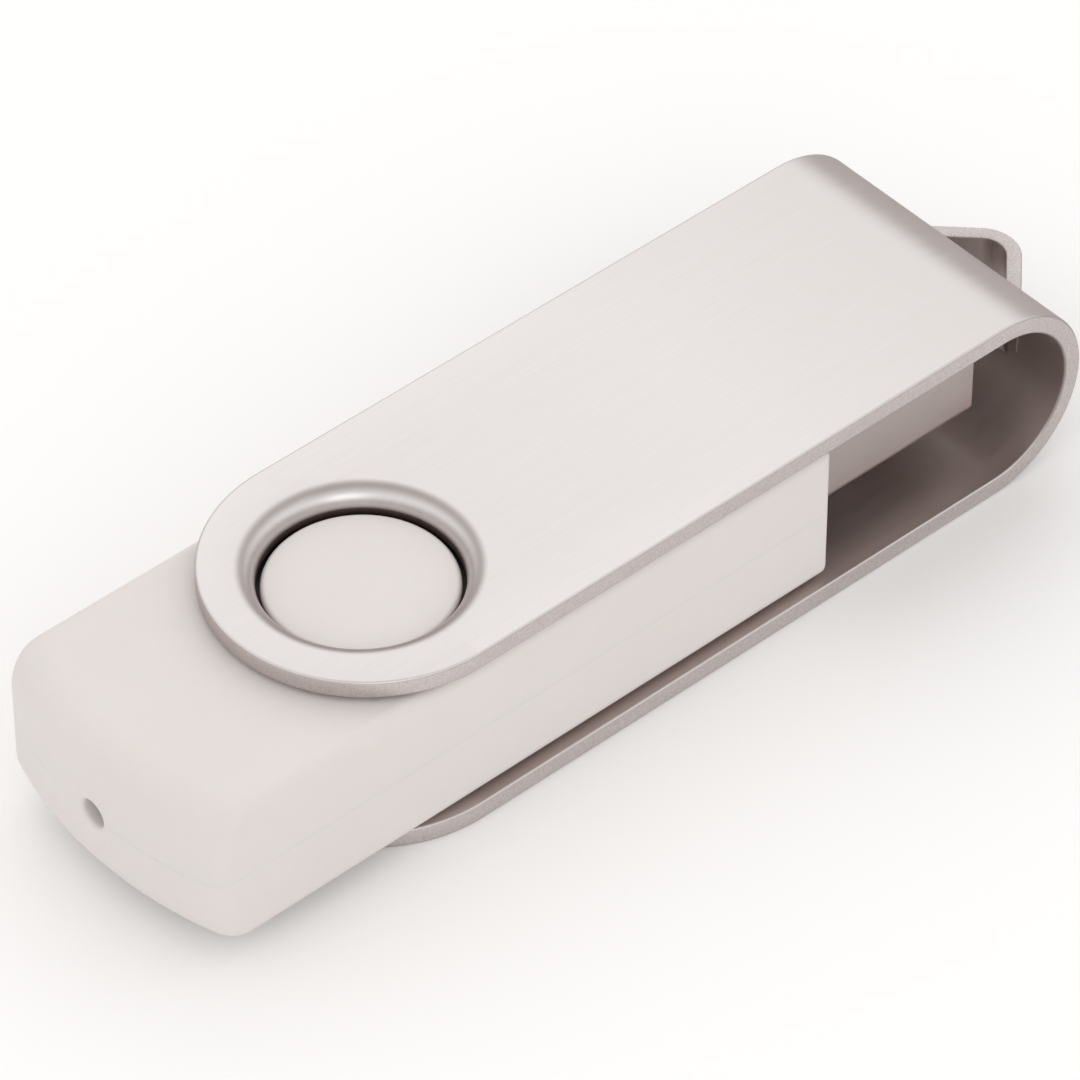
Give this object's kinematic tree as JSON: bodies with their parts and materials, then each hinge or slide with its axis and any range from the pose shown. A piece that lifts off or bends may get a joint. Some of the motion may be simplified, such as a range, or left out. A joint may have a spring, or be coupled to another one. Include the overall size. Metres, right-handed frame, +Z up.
{
  "type": "usb flash drive",
  "caption": "Pocket USB flash drive: a bowed plastic case with a type A plug, under a U-shaped brushed metal clip that swivels on a round boss and has a keyring loop.",
  "frame": {"origin": "middle of the base: under the closed stick, halfway along its length", "axes": "+X along the stick towards the plug and the keyring loop, +Z up out of the broad face, +Y across"},
  "size_m": [0.0636, 0.0176, 0.0118],
  "materials": {
    "clip_metal": "fine brushed satin along the length, softly worn cut edges",
    "case_plastic": "smooth warm light grey moulding, satin",
    "plug_steel": "rolled nickel-plated sheet, satin",
    "insulator_plastic": "smooth off-white moulding",
    "contact_gold": "gold plating",
    "board_laminate": "green solder mask",
    "solder_tin": "bright solder",
    "chip_resin": "matt moulding resin",
    "lead_tin": "matt tin plating",
    "part_ceramic": "fired ceramic",
    "capacitor_ceramic": "tan fired ceramic",
    "led_white": "white carrier",
    "led_clear": "clear moulded resin"
  },
  "bodies": {
    "drive_body": {"upper_case": "case_plastic", "lower_case": "case_plastic", "plug_shell": "plug_steel", "plug_insulator": "insulator_plastic", "power_contacts": "contact_gold", "data_contacts": "contact_gold", "circuit_board": "board_laminate", "board_pads": "contact_gold", "contact_solder": "solder_tin", "leg_solder": "solder_tin", "flash_chip": "chip_resin", "flash_leads": "lead_tin", "controller_chip": "chip_resin", "controller_leads": "lead_tin", "crystal_base": "part_ceramic", "crystal_lid": "lead_tin", "regulator_body": "chip_resin", "regulator_leads": "lead_tin", "capacitor_bodies": "capacitor_ceramic", "capacitor_terminals": "lead_tin", "resistor_bodies": "chip_resin", "resistor_terminals": "lead_tin", "led_base": "led_white", "led_lens": "led_clear", "led_terminals": "lead_tin"},
    "clip": {"swivel_clip": "clip_metal"}
  },
  "joints": [
    {"name": "swivel", "type": "hinge", "parent": "drive_body", "child": "clip", "pos_m": [-0.0141, 0, 0.0059], "axis": [0, 0, 1], "continuous": true}
  ]
}
